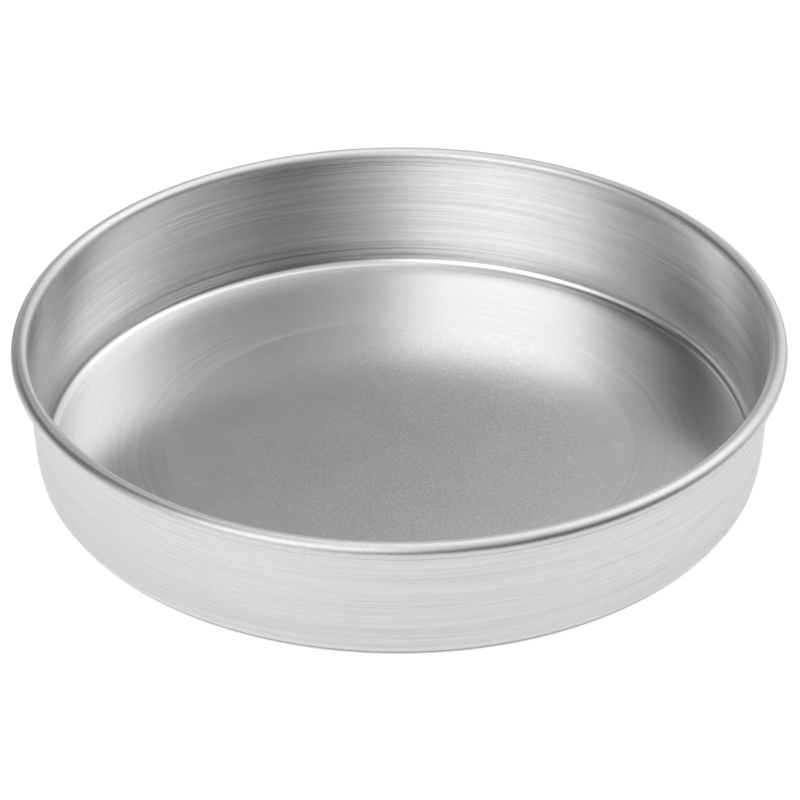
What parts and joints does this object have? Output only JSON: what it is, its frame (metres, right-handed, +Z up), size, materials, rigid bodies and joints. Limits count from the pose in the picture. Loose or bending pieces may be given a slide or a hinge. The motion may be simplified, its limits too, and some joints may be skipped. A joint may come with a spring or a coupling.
{
  "type": "round cake tin",
  "caption": "Shallow round baking tin with a flat floor, slightly leaning wall and a rim rolled round a wire.",
  "frame": {"origin": "middle of the underside, on the surface that the tin stands on", "axes": "+Z up out of the mouth, along the tin's axis; the wire's butted ends are on the +Y side"},
  "size_m": [0.2658, 0.2658, 0.0476],
  "materials": {
    "shell": "bare, satin, spun in fine rings on the wall",
    "wire": "plain drawn wire"
  },
  "bodies": {
    "root": {"pan_shell": "shell", "rim_wire": "wire"}
  },
  "joints": []
}
